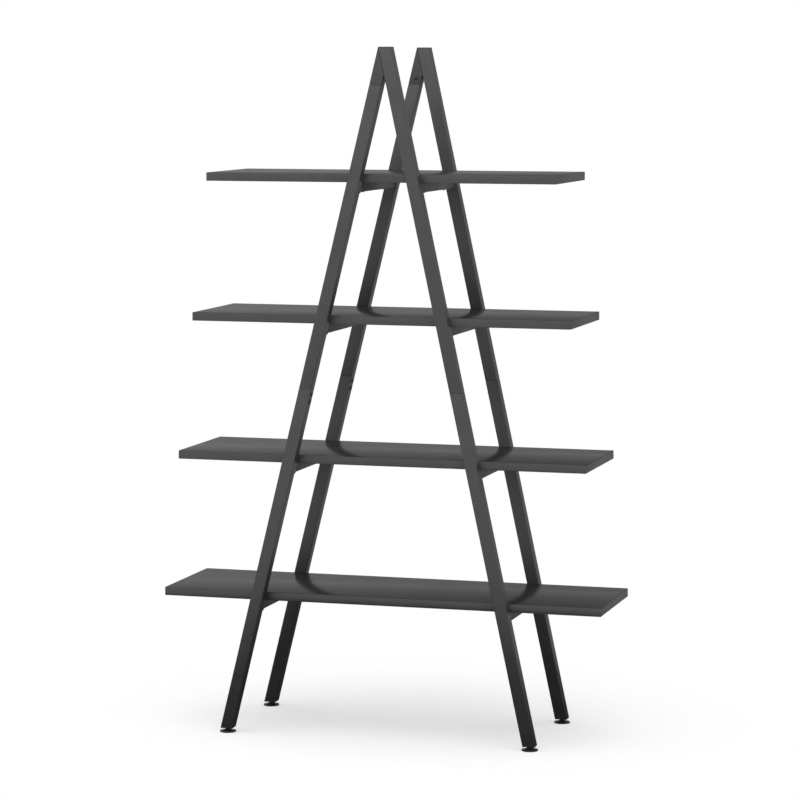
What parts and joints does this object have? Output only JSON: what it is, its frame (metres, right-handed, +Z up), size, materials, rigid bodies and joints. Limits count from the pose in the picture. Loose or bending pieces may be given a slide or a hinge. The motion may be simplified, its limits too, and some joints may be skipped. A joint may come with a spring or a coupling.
{
  "type": "a-frame shelf unit",
  "caption": "Free-standing A-frame shelf unit: level boards that grow longer towards the floor, held between two leaning square-tube frames on levelling feet.",
  "frame": {"origin": "on the floor, under the middle of the bottom shelf", "axes": "+X along the shelves to the right, -Y to the front, +Z up"},
  "size_m": [1.184, 0.4, 1.8],
  "materials": {
    "black_board": "black laminate, satin",
    "edge_band": "black edge banding, satin",
    "black_powder_coat": "fine matte black powder coat",
    "bare_sleeve": "black primer",
    "black_fastener": "black oxide",
    "zinc_fastener": "zinc plated",
    "zinc_stud": "black zinc plated",
    "plug_plastic": "black nylon",
    "pad_plastic": "black moulded plastic"
  },
  "bodies": {
    "frame": {"apex_bolts": "black_fastener", "apex_cap_front": "black_powder_coat", "apex_cap_rear": "black_powder_coat", "apex_nuts": "zinc_fastener", "apex_sleeve_front": "bare_sleeve", "apex_sleeve_rear": "bare_sleeve", "apex_stub_front": "black_powder_coat", "apex_stub_rear": "black_powder_coat", "cross_bar_left_1": "black_powder_coat", "cross_bar_left_2": "black_powder_coat", "cross_bar_left_3": "black_powder_coat", "cross_bar_left_4": "black_powder_coat", "cross_bar_right_1": "black_powder_coat", "cross_bar_right_2": "black_powder_coat", "cross_bar_right_3": "black_powder_coat", "cross_bar_right_4": "black_powder_coat", "edge_band_1": "edge_band", "edge_band_2": "edge_band", "edge_band_3": "edge_band", "edge_band_4": "edge_band", "foot_plug_front_left": "plug_plastic", "foot_plug_front_right": "plug_plastic", "foot_plug_rear_left": "plug_plastic", "foot_plug_rear_right": "plug_plastic", "joint_bolts_front_left": "black_fastener", "joint_bolts_front_right": "black_fastener", "joint_bolts_rear_left": "black_fastener", "joint_bolts_rear_right": "black_fastener", "joint_nuts_front": "zinc_fastener", "joint_nuts_rear": "zinc_fastener", "joint_sleeve_front_left": "bare_sleeve", "joint_sleeve_front_right": "bare_sleeve", "joint_sleeve_rear_left": "bare_sleeve", "joint_sleeve_rear_right": "bare_sleeve", "lower_leg_front_left": "black_powder_coat", "lower_leg_front_right": "black_powder_coat", "lower_leg_rear_left": "black_powder_coat", "lower_leg_rear_right": "black_powder_coat", "shelf_board_1": "black_board", "shelf_board_2": "black_board", "shelf_board_3": "black_board", "shelf_board_4": "black_board", "shelf_screws_1": "black_fastener", "shelf_screws_2": "black_fastener", "shelf_screws_3": "black_fastener", "shelf_screws_4": "black_fastener", "upper_leg_front_left": "black_powder_coat", "upper_leg_front_right": "black_powder_coat", "upper_leg_rear_left": "black_powder_coat", "upper_leg_rear_right": "black_powder_coat"},
    "front_left_pad": {"foot_pad_front_left": "pad_plastic"},
    "front_left_stud": {"foot_stud_front_left": "zinc_stud"},
    "front_right_pad": {"foot_pad_front_right": "pad_plastic"},
    "front_right_stud": {"foot_stud_front_right": "zinc_stud"},
    "rear_left_pad": {"foot_pad_rear_left": "pad_plastic"},
    "rear_left_stud": {"foot_stud_rear_left": "zinc_stud"},
    "rear_right_pad": {"foot_pad_rear_right": "pad_plastic"},
    "rear_right_stud": {"foot_stud_rear_right": "zinc_stud"}
  },
  "joints": [
    {"name": "front_left_foot_height", "type": "slide", "parent": "frame", "child": "front_left_pad", "axis": [0, 0, -1], "range_m": [0, 0.01]},
    {"name": "front_left_stud_turn", "type": "hinge", "parent": "front_left_pad", "child": "front_left_stud", "pos_m": [-0.411, -0.1785, 0.02], "axis": [0, 0, -1], "range_deg": [0, 2880]},
    {"name": "front_right_foot_height", "type": "slide", "parent": "frame", "child": "front_right_pad", "axis": [0, 0, -1], "range_m": [0, 0.01]},
    {"name": "front_right_stud_turn", "type": "hinge", "parent": "front_right_pad", "child": "front_right_stud", "pos_m": [0.411, -0.1785, 0.02], "axis": [0, 0, -1], "range_deg": [0, 2880]},
    {"name": "rear_left_foot_height", "type": "slide", "parent": "frame", "child": "rear_left_pad", "axis": [0, 0, -1], "range_m": [0, 0.01]},
    {"name": "rear_left_stud_turn", "type": "hinge", "parent": "rear_left_pad", "child": "rear_left_stud", "pos_m": [-0.411, 0.1785, 0.02], "axis": [0, 0, -1], "range_deg": [0, 2880]},
    {"name": "rear_right_foot_height", "type": "slide", "parent": "frame", "child": "rear_right_pad", "axis": [0, 0, -1], "range_m": [0, 0.01]},
    {"name": "rear_right_stud_turn", "type": "hinge", "parent": "rear_right_pad", "child": "rear_right_stud", "pos_m": [0.411, 0.1785, 0.02], "axis": [0, 0, -1], "range_deg": [0, 2880]}
  ],
  "couplings": [
    {"joint": "front_left_foot_height", "follows": "front_left_stud_turn", "m_per_rad": 0.00019894},
    {"joint": "front_right_foot_height", "follows": "front_right_stud_turn", "m_per_rad": 0.00019894},
    {"joint": "rear_left_foot_height", "follows": "rear_left_stud_turn", "m_per_rad": 0.00019894},
    {"joint": "rear_right_foot_height", "follows": "rear_right_stud_turn", "m_per_rad": 0.00019894}
  ]
}
